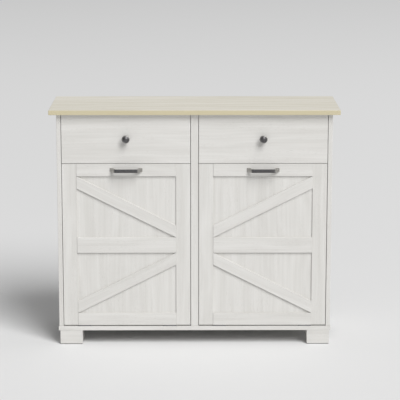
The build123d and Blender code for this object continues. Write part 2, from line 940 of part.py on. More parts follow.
def build_door(side, sign):
    """One tilt-out door: panel and trim, handle, hinge leaves, and the bin cradle behind."""
    name = f"door_{side}"
    cradle_z = (cradle_low, cradle_low + cradle_board)
    cradle_x = (sign * (cradle_inner_x + cradle_board), sign * (cradle_outer_x - cradle_board))

    side_centres = (cradle_inner_x + cradle_board / 2, cradle_outer_x - cradle_board / 2)
    side_top_z = pin_z + sweep_radius
    side_span = side_top_z - cradle_low
    door_screw_zs = [cradle_low + side_span * share for share in door_screw_shares]
    door_mouths = facing(
        [(sign * x, trim_back_face, z) for x in side_centres for z in door_screw_zs], (0, -1, 0)
    )
    door_screws = [place * Location((0, 0, -wood_head_height)) for place in door_mouths]

    shelf_z = cradle_low + cradle_board / 2
    back_y = cradle_rear - cradle_board / 2
    back_zs = (
        cradle_low + cradle_low_screw_rise,
        (cradle_low + side_top_z) / 2,
        pin_z + sweep_radius * cradle_back_top_share,
    )
    shelf_span = cradle_back_front - door_back_face
    shelf_ys = [door_back_face + shelf_span * share for share in shelf_screw_shares]
    cradle_points = [*((y, shelf_z) for y in shelf_ys), *((back_y, z) for z in back_zs)]
    cradle_screws = [
        place
        for x, look in ((cradle_inner_x, -1), (cradle_outer_x, 1))
        for y, z in cradle_points
        for place in facing([(sign * x, y, z)], (sign * look, 0, 0))
    ]

    leaf_screws = facing(
        [(sign * x, leaf_screw_y, door_low - hinge_leaf_thickness) for x in leaf_screw_xs],
        (0, 0, -1),
    )
    strike_z = catch_low + catch_height / 2
    strike_screw_x = (strike_width + catch_width) / 4
    strike_centre = sign * front_centre_x
    strike_screws = facing(
        [
            (strike_centre + step * strike_screw_x, door_back_face + strike_thickness, strike_z)
            for step in (-1, 1)
        ],
        (0, 1, 0),
    )

    boards(
        f"{name}_panel",
        [
            (
                (sign * front_inner_x, sign * front_outer_x),
                (trim_back_face, door_back_face),
                (door_low, door_top),
            )
        ],
        bores=[
            door_handle_bore(sign),
            wood_bore(door_screws, door_screw_length),
            sunk_seat(door_mouths),
            small_bore(leaf_screws, leaf_screw_length),
            small_bore(strike_screws, strike_screw_length),
        ],
    )
    build_door_trim(name, sign)
    build_handle(f"{name}_handle", sign)

    moving_knuckle = hinge_length / 3 - hinge_knuckle_gap
    centres = [sign * x for x in hinge_xs]
    leaf_piece(
        f"{name}_hinge_leaves",
        centres,
        centres,
        moving_knuckle,
        door_low - hinge_leaf_thickness,
        hinge_pin_radius + hinge_pin_clearance,
        [small_bore(leaf_screws, leaf_screw_length)],
    )
    boards(
        f"{name}_strike_plate",
        [
            (
                (strike_centre - strike_width / 2, strike_centre + strike_width / 2),
                (door_back_face, door_back_face + strike_thickness),
                (strike_z - catch_height / 2, strike_z + catch_height / 2),
            )
        ],
        bores=[small_bore(strike_screws, strike_thickness)],
    )
    build_cradle_sides(
        name,
        sign,
        [
            wood_bore(door_screws, door_screw_length),
            wood_bore(cradle_screws, cradle_screw_length),
        ],
    )
    boards(
        f"{name}_cradle_shelf",
        [(cradle_x, (door_back_face, cradle_back_front), cradle_z)],
        bores=[wood_bore(cradle_screws, cradle_screw_length)],
    )
    boards(
        f"{name}_cradle_back",
        [(cradle_x, (cradle_back_front, cradle_rear), (cradle_low, cradle_back_top))],
        bores=[wood_bore(cradle_screws, cradle_screw_length)],
    )

    with BuildPart() as fasteners:
        add_wood_screws(door_handle_seats(sign), handle_screw_length)
        add_wood_screws(door_screws, door_screw_length)
        add_wood_screws(cradle_screws, cradle_screw_length)
        add_small_screws(leaf_screws, leaf_screw_length, leaf_head_height)
        add_small_screws(strike_screws, strike_screw_length)
    save(fasteners, f"{name}_fasteners")


# ---------------------------------------------------------------- the whole sideboard

build_carcass()
build_feet()
build_cabinet_fasteners()
build_cabinet_fittings()
for side_name, side_sign in sides.items():
    build_drawer(side_name, side_sign)
    build_door(side_name, side_sign)

print("tilt range, degrees:", round(math.degrees(tilt_angle), 2))
print("hinge axis, y and z:", pin_y, pin_z)
print("drawer travel:", drawer_travel)
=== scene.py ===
# %% [markdown]
# A two-drawer sideboard with two tilt-out doors, finished in Blender.
# The CAD model arrives as a fixed frame: every board, hinge and screw is already in its place, in
# metres. This lesson only makes what the eye sees: boards with eased edges and woodgrain, turned
# knobs, bridge handles, a zinc finish on the CAD screws, and the light that shows them. Each new
# piece says which CAD node it stands for and which body it moves with.

import math

import bpy
import numpy as np
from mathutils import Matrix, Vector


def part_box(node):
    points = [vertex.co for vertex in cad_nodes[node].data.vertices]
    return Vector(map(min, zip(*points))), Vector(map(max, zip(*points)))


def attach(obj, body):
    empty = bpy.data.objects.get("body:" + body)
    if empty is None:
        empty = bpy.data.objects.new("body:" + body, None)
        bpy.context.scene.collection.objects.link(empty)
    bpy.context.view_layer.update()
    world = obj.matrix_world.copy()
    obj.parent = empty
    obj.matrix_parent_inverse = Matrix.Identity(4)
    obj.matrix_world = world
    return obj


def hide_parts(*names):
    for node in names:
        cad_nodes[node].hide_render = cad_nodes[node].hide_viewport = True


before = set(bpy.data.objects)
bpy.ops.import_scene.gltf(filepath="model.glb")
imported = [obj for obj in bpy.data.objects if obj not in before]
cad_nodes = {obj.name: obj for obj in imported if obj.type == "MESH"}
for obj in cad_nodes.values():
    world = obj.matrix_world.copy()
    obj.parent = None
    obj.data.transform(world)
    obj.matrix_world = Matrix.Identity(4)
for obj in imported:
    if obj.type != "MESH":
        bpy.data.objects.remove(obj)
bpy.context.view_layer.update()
MM = 0.001
SIDES = {"left": -1, "right": 1}

# %% [markdown]
# Materials are easier to read as arithmetic than as a web of nodes. A Field wraps one output
# socket, and adding or multiplying Fields adds the Math nodes behind them. A Finish is one
# material with its Principled shader, and add() places any other node.

# %% Shader arithmetic

# A Mix node has a set of sockets for each kind of data. These are the places of those for colours.
MIX_FACTOR, MIX_FIRST, MIX_SECOND = 0, 6, 7
MIX_RESULT = 2


class Field:
    """A number that varies over a surface. Arithmetic on it adds Math nodes."""

    def __init__(self, finish, socket):
        self.finish = finish
        self.socket = socket

    def maths(self, operation, *values):
        inputs = dict(enumerate(values))
        return self.finish.add("ShaderNodeMath", {"operation": operation}, inputs)

    def __add__(self, other):
        return self.maths("ADD", self, other)

    def __sub__(self, other):
        return self.maths("SUBTRACT", self, other)

    def __rsub__(self, other):
        return self.maths("SUBTRACT", other, self)

    def __mul__(self, other):
        return self.maths("MULTIPLY", self, other)

    __radd__ = __add__
    __rmul__ = __mul__

    def step(self, start, end):
        """0 below start, 1 above end, smooth between them."""
        settings = {"interpolation_type": "SMOOTHSTEP"}
        inputs = {"Value": self, "From Min": start, "From Max": end}
        return self.finish.add("ShaderNodeMapRange", settings, inputs)


class Finish:
    """One material: a Principled shader and the nodes that feed it."""

    def __init__(self, name, **values):
        self.material = bpy.data.materials.new(name)
        self.material.use_nodes = True
        self.tree = self.material.node_tree
        self.shader = self.tree.nodes["Principled BSDF"]
        for socket, value in values.items():
            self.feed(socket.replace("_", " "), value)

    def set_input(self, socket, value):
        if isinstance(value, Field):
            self.tree.links.new(value.socket, socket)
        else:
            socket.default_value = value

    def add(self, kind, settings=None, inputs=None, output=0):
        """A node of this kind: settings first, then its sockets, and one output as a Field."""
        node = self.tree.nodes.new(kind)
        for key, value in (settings or {}).items():
            setattr(node, key, value)
        for key, value in (inputs or {}).items():
            self.set_input(node.inputs[key], value)
        return Field(self, node.outputs[output])

    def feed(self, socket, value):
        """Give the Principled shader's socket a value or a Field."""
        self.set_input(self.shader.inputs[socket], value)

    def object_place(self):
        """Object coordinates, in metres."""
        return self.add("ShaderNodeTexCoord", output="Object")

    def stretch(self, place, scale, shift=(0.0, 0.0, 0.0)):
        """The coordinates times scale plus shift, each along its own axis."""
        scaled = self.add("ShaderNodeVectorMath", {"operation": "MULTIPLY"}, {0: place, 1: scale})
        return self.add("ShaderNodeVectorMath", {"operation": "ADD"}, {0: scaled, 1: shift})

    def noise(self, place, scale, detail=2.0, roughness=0.5, distortion=0.0, shift=(0, 0, 0)):
        """Smooth noise, from 0 to 1, with its own scale along each axis."""
        inputs = {
            "Vector": self.stretch(place, scale, shift),
            "Scale": 1.0,
            "Detail": detail,
            "Roughness": roughness,
            "Distortion": distortion,
        }
        return self.add("ShaderNodeTexNoise", None, inputs)

    def blend(self, factor, first, second):
        """The colour first where factor is 0, and second where it is 1."""
        inputs = {MIX_FACTOR: factor, MIX_FIRST: first, MIX_SECOND: second}
        return self.add("ShaderNodeMix", {"data_type": "RGBA"}, inputs, MIX_RESULT)

    def bump(self, height, distance, strength=1.0):
        """Small relief: height is a Field, distance its depth in metres."""
        inputs = {"Height": height, "Distance": distance, "Strength": strength}
        self.feed("Normal", self.add("ShaderNodeBump", None, inputs))


def rgba(red, green, blue):
    """A colour socket's four numbers."""
    return (red, green, blue, 1.0)


print("shader arithmetic ready")

# %% [markdown]
# The camera stands almost six metres back with a long lens, so the cabinet's lines stay nearly
# parallel. It is a touch left of centre and looks down on the top, as a catalogue picture does.

# %% Camera
camera_left = 7.3 * MM
camera_distance = 5.815  # from the doors' faces
camera_height = 1.688
camera_down = math.radians(11.39)
camera_turn = math.radians(0.256)
camera_lens = 154.2

door_face_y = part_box("door_left_stiles")[0].y
camera_data = bpy.data.cameras.new("studio_camera")
camera_data.lens = camera_lens
camera_data.sensor_width = 36.0
camera = bpy.data.objects.new("studio_camera", camera_data)
camera.location = (-camera_left, door_face_y - camera_distance, camera_height)
camera.rotation_euler = (math.pi / 2 - camera_down, 0.0, -camera_turn)
bpy.context.scene.collection.objects.link(camera)
bpy.context.scene.camera = camera
bpy.context.scene.view_settings.view_transform = "Standard"
print("camera at", tuple(round(v, 3) for v in camera.location))

# %% [markdown]
# The studio is one wide sheet of pale paper under an even white sky, with one big softbox high
# on the right, in front. A softbox's size, as seen from the cabinet, sets how slowly a shadow
# melts away: this one is nearly forty degrees tall, so the shadow of the top edge fades over a
# metre of floor, while that of a knob stays small and soft. It is far off, so it lights every
# board alike. The paper is a touch paler in the distance, where less of the light reaches it.

# %% Floor, sky and softbox
floor_half = 60.0
floor_near = 1.2  # the paper has its near colour up to here
floor_far = 7.5  # and its far colour from here
near_colour = rgba(0.76, 0.76, 0.76)
far_colour = rgba(0.79, 0.79, 0.79)

floor_mesh = bpy.data.meshes.new("studio_floor")
corner_signs = ((-1, -1), (1, -1), (1, 1), (-1, 1))
floor_corners = [(x * floor_half, y * floor_half, 0) for x, y in corner_signs]
floor_mesh.from_pydata(floor_corners, [], [(0, 1, 2, 3)])
floor = bpy.data.objects.new("studio_floor", floor_mesh)
bpy.context.scene.collection.objects.link(floor)
paper = Finish("studio_paper", Roughness=0.9)
paper.feed("Specular IOR Level", 0.0)
length = {"operation": "LENGTH"}
reach = paper.add("ShaderNodeVectorMath", length, {0: paper.object_place()}, output="Value")
paper.feed("Base Color", paper.blend(reach.step(floor_near, floor_far), near_colour, far_colour))
floor_mesh.materials.append(paper.material)

sky = bpy.data.worlds.new("studio_sky")
sky.use_nodes = True
sky_strength = 0.322
sky_inputs = sky.node_tree.nodes["Background"].inputs
sky_inputs["Color"].default_value = rgba(1.0, 1.0, 1.0)
sky_inputs["Strength"].default_value = sky_strength
bpy.context.scene.world = sky

softbox_distance = 60.0


def softbox(name, around, up, across, tall, power):
    """A rectangular softbox, placed and sized by its angles as seen from the cabinet."""
    around, up, across, tall = (math.radians(angle) for angle in (around, up, across, tall))
    data = bpy.data.lights.new(name, "AREA")
    data.shape = "RECTANGLE"
    data.size = 2 * softbox_distance * math.tan(across / 2)
    data.size_y = 2 * softbox_distance * math.tan(tall / 2)
    data.energy = power
    lamp = bpy.data.objects.new(name, data)
    level = math.cos(up) * softbox_distance
    height = math.sin(up) * softbox_distance
    lamp.location = (math.sin(around) * level, -math.cos(around) * level, height)
    lamp.rotation_euler = (math.pi / 2 - up, 0.0, around)
    bpy.context.scene.collection.objects.link(lamp)
    print(name, "measures", round(data.size, 1), "by", round(data.size_y, 1), "metres")


softbox("high_softbox", around=32.0, up=46.0, across=25.0, tall=38.0, power=35400.0)

# %% [markdown]
# Woodgrain runs along a board, whichever way the board lies. So each board's mesh stores a
# "grain" attribute: how far a point is along the grain, across it and into the board, plus a
# shift of its own, so that no two boards show the same figure. The materials read only that.
# The dowels stay as CAD and have no attribute, so their beech reads Object coordinates.

# %% Where the grain runs


def stored_grain(finish):
    """Along, across and into a board that stores its own grain."""
    return finish.add("ShaderNodeAttribute", {"attribute_name": "grain"}, output="Vector")


print("grain readers:", stored_grain.__name__, "and", Finish.object_place.__name__)

# %% [markdown]
# The white boards are a printed oak foil, washed nearly white: broad faint bands, a slow
# wandering figure, fine streaks and short pores that sit slightly below the surface. The
# contrast is only a few percent, so each layer is a small nudge between two near whites.

# %% Whitewashed woodgrain

# How often each layer repeats in a metre: along the grain, across it and into the board.
wander_scale = (3.4, 9.0, 5.0)
band_scale = (1.5, 17.0, 6.0)
streak_scale = (7.0, 420.0, 420.0)
thread_scale = (4.0, 120.0, 120.0)
pore_scale = (70.0, 1500.0, 1500.0)
patch_scale = (4.0, 40.0, 40.0)
rings_per_metre = 38.0
ring_wander = 5.0  # rings that the wandering adds or takes

# How much each layer counts in the tone, and the tone at which pale gives way to deep.
band_share = 0.36
figure_share = 0.12
streak_share = 0.28
thread_share = 0.40
tone_middle = 0.57
tone_spread = 0.30
pore_darkness = 0.45
grain_depth = 0.12 * MM


def woodgrain(
    name, grain, pale, deep, pore, contrast=0.85, roughness=0.5, wave=0.018, band=None, coat=0.0
):
    """Bands + figure + streaks + threads choose between pale and deep; pores darken and dent.

    wave is how far the lines wander sideways, in metres. band is the tone of the edge banding,
    where a board stores its "banding".
    """
    finish = Finish(name, Coat_Weight=coat, Coat_Roughness=0.2)
    straight = grain(finish)
    wander = finish.noise(straight, wander_scale, shift=(3.1, 1.7, 0.4))
    bend = finish.add("ShaderNodeCombineXYZ", None, {"Y": (wander - 0.5) * wave})
    place = finish.add("ShaderNodeVectorMath", {"operation": "ADD"}, {0: straight, 1: bend})
    bands = finish.noise(place, band_scale)
    across = finish.add("ShaderNodeSeparateXYZ", None, {"Vector": place}, output="Y")
    rings = across * rings_per_metre + wander * ring_wander
    figure = rings.maths("PINGPONG", rings, 1.0)
    streaks = finish.noise(place, streak_scale, detail=3.0, roughness=0.6)
    threads = finish.noise(place, thread_scale, shift=(7.0, 2.0, 5.0))
    tone = bands * band_share + figure * figure_share
    tone = tone + streaks * streak_share + threads * thread_share
    spread = tone_spread / contrast
    mask = tone.step(tone_middle - spread, tone_middle + spread)
    dashes = finish.noise(place, pore_scale, detail=1.0, shift=(1.0, 9.0, 3.0))
    patches = finish.noise(place, patch_scale, detail=1.0, shift=(5.0, 5.0, 1.0))
    pores = dashes.step(0.60, 0.72) * patches.step(0.40, 0.62)
    ground = finish.blend(mask, pale, deep)
    if band is not None:
        banding = finish.add("ShaderNodeAttribute", {"attribute_name": "banding"}, output="Fac")
        ground = finish.blend(banding * (0.85 + streaks * 0.15), ground, band)
    finish.feed("Base Color", finish.blend(pores * pore_darkness, ground, pore))
    finish.feed("Roughness", roughness + pores * 0.12 - streaks * 0.08)
    finish.feed("Specular IOR Level", 0.4)
    finish.bump(streaks * 0.35 + threads * 0.3 - pores, grain_depth, 0.55)
    return finish.material


white_pale = rgba(0.722, 0.712, 0.69)
white_deep = rgba(0.60, 0.588, 0.56)
white_pore = rgba(0.43, 0.415, 0.385)
white_wood = woodgrain("whitewashed_oak", stored_grain, white_pale, white_deep, white_pore)

# The face colours are paler than the edge banding. The banding is the edge's own tone, and part of
# the face's paleness is painted sheen of the bright backdrop seen at a grazing angle.
oak_pale = rgba(0.91, 0.875, 0.79)
oak_deep = rgba(0.75, 0.71, 0.59)
oak_pore = rgba(0.50, 0.44, 0.31)
oak_band = rgba(0.55, 0.49, 0.32)
oak_wood = woodgrain(
    "pale_oak",
    stored_grain,
    oak_pale,
    oak_deep,
    oak_pore,
    contrast=1.25,
    roughness=0.42,
    wave=0.007,
    band=oak_band,
    coat=0.2,
)

beech_pale = rgba(0.62, 0.43, 0.25)
beech_deep = rgba(0.50, 0.33, 0.18)
beech_pore = rgba(0.34, 0.20, 0.10)
beech = woodgrain(
    "bare_beech", Finish.object_place, beech_pale, beech_deep, beech_pore, roughness=0.6
)
print("woodgrain finishes:", [wood.name for wood in (white_wood, oak_wood, beech)])

# %% [markdown]
# The rest is plainer. Inner boards are white melamine with a faint orange-peel. The back and the
# drawer bottoms are painted hardboard, with specks of fibre. Handles and knobs are dark pewter,
# softly brushed, with a paler tone painted on the knob beads and handle legs as painted reflection.
# The hardware is zinc plated, with a crystal bloom.

# %% Board, metal and plastic finishes
peel_depth = 0.06 * MM
fibre_depth = 0.15 * MM
brush_depth = 0.03 * MM
spark_depth = 0.05 * MM


def melamine(name, colour, shade):
    """A white facing: cloudy tone from slow noise, and a fine orange-peel relief."""
    finish = Finish(name)
    place = finish.object_place()
    cloud = finish.noise(place, (9.0, 9.0, 9.0), detail=3.0)
    peel = finish.noise(place, (900.0, 900.0, 900.0), detail=2.0)
    finish.feed("Base Color", finish.blend(cloud.step(0.3, 0.7), colour, shade))
    finish.feed("Roughness", 0.38 + cloud * 0.1)
    finish.bump(peel, peel_depth, 0.5)
    return finish.material


def hardboard(name, colour, fibre_colour):
    """Painted fibreboard: crossed short fibres show through a matt coat."""
    finish = Finish(name)
    place = finish.object_place()
    fibres = finish.noise(place, (260.0, 900.0, 320.0), detail=3.0, distortion=1.5)
    specks = finish.noise(place, (700.0, 300.0, 800.0), detail=2.0, shift=(4.0, 2.0, 8.0))
    mask = fibres.step(0.5, 0.75) * 0.35 + specks.step(0.62, 0.72) * 0.4
    finish.feed("Base Color", finish.blend(mask, colour, fibre_colour))
    finish.feed("Roughness", 0.7 + fibres * 0.15)
    finish.bump(fibres, fibre_depth, 0.5)
    return finish.material


def metal(name, colour, worn, brush_scale, roughness, wear=0.5, painted_reflection_colour=None):
    """Metal: a brushed streak in roughness, cloudy tone, and a paler painted-reflection tone from
    an attribute.
    """
    finish = Finish(name, Metallic=1.0)
    place = finish.object_place()
    cloud = finish.noise(place, (120.0, 120.0, 120.0), detail=3.0)
    brush = finish.noise(place, brush_scale, detail=3.0, shift=(2.0, 5.0, 1.0))
    tone = finish.blend(cloud.step(0.35, 0.75) * wear, colour, worn)
    gloss = roughness + brush * 0.14 + cloud * 0.08
    if painted_reflection_colour is not None:
        # Painted reflection: a paler tone and slightly lower roughness where the stored mask is 1.
        painted_reflection = finish.add("ShaderNodeAttribute", {"attribute_name": "painted_reflection"}, output="Fac")
        tone = finish.blend(painted_reflection * (0.8 + cloud * 0.2), tone, painted_reflection_colour)
        gloss = gloss - painted_reflection * 0.06
    finish.feed("Base Color", tone)
    finish.feed("Roughness", gloss)
    finish.bump(brush, brush_depth, 0.35)
    return finish.material


def moulded_plastic(name, colour, shade):
    """Matt moulded plastic with a fine spark-eroded grain."""
    finish = Finish(name)
    place = finish.object_place()
    spark = finish.noise(place, (1400.0, 1400.0, 1400.0), detail=2.0)
    cloud = finish.noise(place, (60.0, 60.0, 60.0), detail=1.0)
    finish.feed("Base Color", finish.blend(cloud, colour, shade))
    finish.feed("Roughness", 0.45 + spark * 0.15)
    finish.bump(spark, spark_depth, 0.6)
    return finish.material


inner_white = melamine("white_melamine", rgba(0.72, 0.715, 0.69), rgba(0.66, 0.655, 0.63))
back_white = hardboard("white_hardboard", rgba(0.70, 0.69, 0.66), rgba(0.50, 0.46, 0.38))
pewter = metal(
    "dark_pewter",
    colour=rgba(0.115, 0.112, 0.115),
    worn=rgba(0.17, 0.168, 0.17),
    brush_scale=(60.0, 900.0, 1200.0),
    roughness=0.38,
    # The pale tone painted on the knob beads and handle legs is painted reflection of the bright
    # studio.
    painted_reflection_colour=rgba(0.46, 0.45, 0.43),
)
zinc_brush = (300.0, 900.0, 900.0)
zinc = metal("zinc_plate", rgba(0.60, 0.61, 0.63), rgba(0.72, 0.72, 0.70), zinc_brush, 0.3)
dull_zinc = metal("dull_zinc", rgba(0.17, 0.17, 0.18), rgba(0.26, 0.26, 0.26), zinc_brush, 0.4)
# Near-black glide plastic: partly the glide's own colour, partly painted shade for the contact
# shadow under each foot.
glide_and_contact_shade = moulded_plastic("dark_glide_painted_shade", rgba(0.05, 0.05, 0.05), rgba(0.09, 0.09, 0.09))
catch_white = moulded_plastic("catch_plastic", rgba(0.74, 0.74, 0.71), rgba(0.68, 0.68, 0.66))
plain = (inner_white, back_white, pewter, zinc, dull_zinc, glide_and_contact_shade, catch_white)
print("plain finishes:", [finish.name for finish in plain])

# %% [markdown]
# Every piece made here ends the same way: its points and faces go into a mesh, the mesh gets its
# exact normals, a finish and its grain, and the piece is tied to the frame. One helper does that.

# %% Put a surface into the scene


def new_piece(name, points, faces, normals, finish, body, node, stored=None):
    """A mesh object from arrays, riding on a body in place of a CAD node.

    stored holds arrays to keep at the points, by name: vectors, or single numbers.
    """
    mesh = bpy.data.meshes.new(name)
    mesh.from_pydata(points.tolist(), [], faces)
    mesh.materials.append(finish)
    mesh.shade_smooth()
    if normals is not None:
        mesh.normals_split_custom_set_from_vertices(normals.tolist())
    for key, values in (stored or {}).items():
        kind, field = ("FLOAT_VECTOR", "vector") if values.ndim == 2 else ("FLOAT", "value")
        layer = mesh.attributes.new(key, kind, "POINT")
        layer.data.foreach_set(field, values.astype(np.float32).ravel())
    piece = bpy.data.objects.new(name, mesh)
    bpy.context.scene.collection.objects.link(piece)
    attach(piece, body)
    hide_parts(node)
    return piece


def ring_faces(rows, columns):
    """Quads between neighbouring rings of points. A ring's last point is joined to its first."""
    row, column = np.meshgrid(np.arange(rows - 1), np.arange(columns), indexing="ij")
    here = row * columns + column
    after = row * columns + (column + 1) % columns
    return np.stack([here, after, after + columns, here + columns], axis=-1).reshape(-1, 4).tolist()


def end_caps(rows, columns):
    """The first ring as one polygon turned over, and the last ring as one polygon."""
    return [list(range(columns))[::-1], list(range((rows - 1) * columns, rows * columns))]


print("a ring of four quads:", ring_faces(2, 4))

# %% [markdown]
# A board is not a plain box: its edges are eased, and the eased edge is what catches the light.
# The surface has two parameters. One goes round the outline, with an arc at each corner. The
# other goes from the back face, round the edge, to the front face. Both faces close with one
# flat polygon.

# %% Eased board
corner_steps = 3
edge_steps = 3
corner_ratio = 1.3  # a corner's radius over the ease of the edge


def slab(outline, low, high, ease, axes):
    """Point = corner centre + (corner radius - ease + ease cos edge) * outward + height.

    outline is a polygon, anticlockwise seen against the third axis. low and high are the
    faces' places along that axis. axes are the outline's two directions and the third.
    """
    corners = np.array(outline, float)
    radius = ease * corner_ratio
    edges = np.roll(corners, -1, axis=0) - corners
    lengths = np.linalg.norm(edges, axis=1, keepdims=True)
    outward = np.stack([edges[:, 1], -edges[:, 0]], axis=1) / lengths
    before = np.roll(outward, 1, axis=0)
    spread = 1.0 + np.sum(before * outward, axis=1, keepdims=True)
    centres = corners - radius * (before + outward) / spread
    start = np.arctan2(before[:, 1], before[:, 0])
    turn = np.arctan2(outward[:, 1], outward[:, 0]) - start
    turn = (turn + np.pi) % (2 * np.pi) - np.pi
    share = np.linspace(0.0, 1.0, corner_steps + 1)
    angle = (start[:, None] + turn[:, None] * share[None, :]).ravel()
    ring_way = np.stack([np.cos(angle), np.sin(angle)], axis=1)
    ring_centre = np.repeat(centres, corner_steps + 1, axis=0)

    quarter = np.linspace(0.0, np.pi / 2, edge_steps + 1)
    edge = np.concatenate([quarter - np.pi / 2, quarter])
    inner = np.repeat([low + ease, high - ease], edge_steps + 1)
    height = inner + ease * np.sin(edge)
    reach = radius - ease + ease * np.cos(edge)

    flat = ring_centre[None] + reach[:, None, None] * ring_way[None]
    first, second, third = (np.array(axis, float) for axis in axes)
    points = flat[..., :1] * first + flat[..., 1:] * second + height[:, None, None] * third
    sideways = ring_way[:, :1] * first + ring_way[:, 1:] * second
    normals = np.cos(edge)[:, None, None] * sideways[None] + np.sin(edge)[:, None, None] * third
    faces = ring_faces(len(edge), len(angle)) + end_caps(len(edge), len(angle))
    return points.reshape(-1, 3), faces, normals.reshape(-1, 3)


print("points of an eased edge:", 2 * (edge_steps + 1))

# %% Boards with grain
AXES = np.eye(3)
banding_wrap = 5.0  # how early the edge banding takes over from the face on an eased edge
farthest_shift = 20.0  # metres of pattern
board_ease = 1.0 * MM
grain_shifts = []


def board_grain(points, along, thickness):
    """Distance along the grain, across it and into the board, plus this board's own shift."""
    seed = len(grain_shifts) + 1
    grain_shifts.append(np.random.default_rng(seed).uniform(-farthest_shift, farthest_shift, 3))
    across = np.cross(thickness, along)
    turned = np.stack([points @ along, points @ across, points @ thickness], axis=1)
    return turned + grain_shifts[-1]


def board(name, low, high, along, finish, body, node, slot, ease=board_ease):
    """An eased rectangular board between two corners, its thickness the smallest size.

    Its "banding" is 1 on the narrow sides and round their eased edges, and 0 on the two faces.
    """
    low, high = np.array(low), np.array(high)
    thin = int(np.argmin(high - low))
    first, second = (thin + 1) % 3, (thin + 2) % 3
    outline = [
        (low[first], low[second]),
        (high[first], low[second]),
        (high[first], high[second]),
        (low[first], high[second]),
    ]
    axes = (AXES[first], AXES[second], AXES[thin])
    points, faces, normals = slab(outline, low[thin], high[thin], ease, axes)
    stored = {
        "grain": board_grain(points, AXES["xyz".index(along)], AXES[thin]),
        "banding": np.clip(banding_wrap * (1.0 - np.abs(normals[:, thin])), 0.0, 1.0),
    }
    return new_piece(name, points, faces, normals, finish, body, node, stored)


print("ordinary ease in millimetres:", board_ease / MM)

# %% [markdown]
# A CAD node can hold a pair of boards, such as a door's two stiles. The pair is told apart by the
# widest empty gap between its points along one axis.

# %% Pairs in one node


def pair_boxes(node, axis):
    """The two boards of a node, lower first, as (low, high) corners."""
    vertices = cad_nodes[node].data.vertices
    points = np.zeros(3 * len(vertices), np.float32)
    vertices.foreach_get("co", points)
    points = points.reshape(-1, 3).astype(float)
    places = np.unique(points[:, axis])
    widest = int(np.argmax(np.diff(places)))
    middle = (places[widest] + places[widest + 1]) / 2
    halves = (points[points[:, axis] < middle], points[points[:, axis] > middle])
    return [(half.min(axis=0), half.max(axis=0)) for half in halves]


print("stiles of the left door:", pair_boxes("door_left_stiles", 0)[0][0].round(4))

# %% [markdown]
# The carcass: side panels, base and feet carry upright or lengthwise grain as their foil was cut.
# The top is the only oak board. All the sizes come from the CAD boxes.

# %% Carcass boards
top_ease = 1.4 * MM
carcass = {
    "side_panel_left": "z",
    "side_panel_right": "z",
    "centre_stile": "z",
    "base_board": "x",
}
for node, along in carcass.items():
    board(node + "_faced", *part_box(node), along, white_wood, "cabinet", node, "white_woodgrain")
top_low, top_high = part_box("top_board")
board("oak_worktop", top_low, top_high, "x", oak_wood, "cabinet", "top_board", "oak_top", top_ease)
print("carcass boards:", len(carcass) + 1)

# %% [markdown]
# Each foot is a solid block that ends in a thin dark glide, so that the cabinet slides on a
# floor without chipping. The glide's near-black is also painted shade: from the front it is only
# a fine dark line, which stands for the contact shadow that separates the foot from the pale floor.

# %% Feet with glides
glide_thickness = 2.0 * MM
glide_inset = 1.0 * MM
glide_ease = 0.4 * MM
for end in ("front", "rear"):
    for side in SIDES:
        node = f"foot_{end}_{side}"
        low, high = (np.array(corner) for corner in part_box(node))
        block_low = low + [0, 0, glide_thickness]
        board(node + "_faced", block_low, high, "x", white_wood, "cabinet", node, "white_woodgrain")
        low = low + [glide_inset, glide_inset, 0]
        high = np.array([high[0] - glide_inset, high[1] - glide_inset, block_low[2]])
        name = node + "_glide"
        board(name, low, high, "x", glide_and_contact_shade, "cabinet", node, "white_woodgrain", glide_ease)
print("glide thickness in millimetres:", glide_thickness / MM)

# %% [markdown]
# Drawer fronts have their grain lying down. On the doors it stands up in the panel and the
# stiles and lies along each rail. The strips are separate pieces with eased edges, so a fine
# groove shows at every joint. The stiles are a little thinner than the rails, so each rail end
# that turns away from the light draws a thin shadow on the stile beside it.

# %% Drawer fronts, door panels, stiles and rails
stile_step = 1.8 * MM
strip_ease = 0.9 * MM
strips = {  # node: name of one strip, axis that tells the pair apart, grain, ends of the names
    "stiles": ("stile", 0, "z", ("low_x", "high_x")),
    "end_rails": ("rail", 2, "x", ("bottom", "top")),
}
for side in SIDES:
    drawer, door = f"drawer_{side}", f"door_{side}"
    front = drawer + "_front"
    board(front + "_faced", *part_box(front), "x", white_wood, drawer, front, "white_woodgrain")
    panel = door + "_panel"
    board(panel + "_faced", *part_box(panel), "z", white_wood, door, panel, "white_woodgrain")
    mid = door + "_mid_rail"
    board(mid + "_faced", *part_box(mid), "x", white_wood, door, mid, "white_woodgrain", strip_ease)
    for group, (single, axis, along, ends) in strips.items():
        node = f"{door}_{group}"
        for end, (low, high) in zip(ends, pair_boxes(node, axis)):
            name = f"{door}_{single}_{end}"
            low = low + [0, stile_step if single == "stile" else 0, 0]
            board(name, low, high, along, white_wood, door, node, "white_woodgrain", strip_ease)
print("boards so far:", len(grain_shifts))

# %% [markdown]
# A brace is a strip that slants from the outer corner of its opening to the opposite corner at
# the mid rail. Its ends are cut upright, to fit against the stiles. Its width and the opening
# give the slope, the four corners follow from the slope, and the eased slab does the rest.

# %% Slanting braces
brace_width = 38.0 * MM


def signed_area(outline):
    """Positive for a polygon that runs anticlockwise."""
    x, y = np.array(outline).T
    return 0.5 * float(np.sum(x * np.roll(y, -1) - np.roll(x, -1) * y))


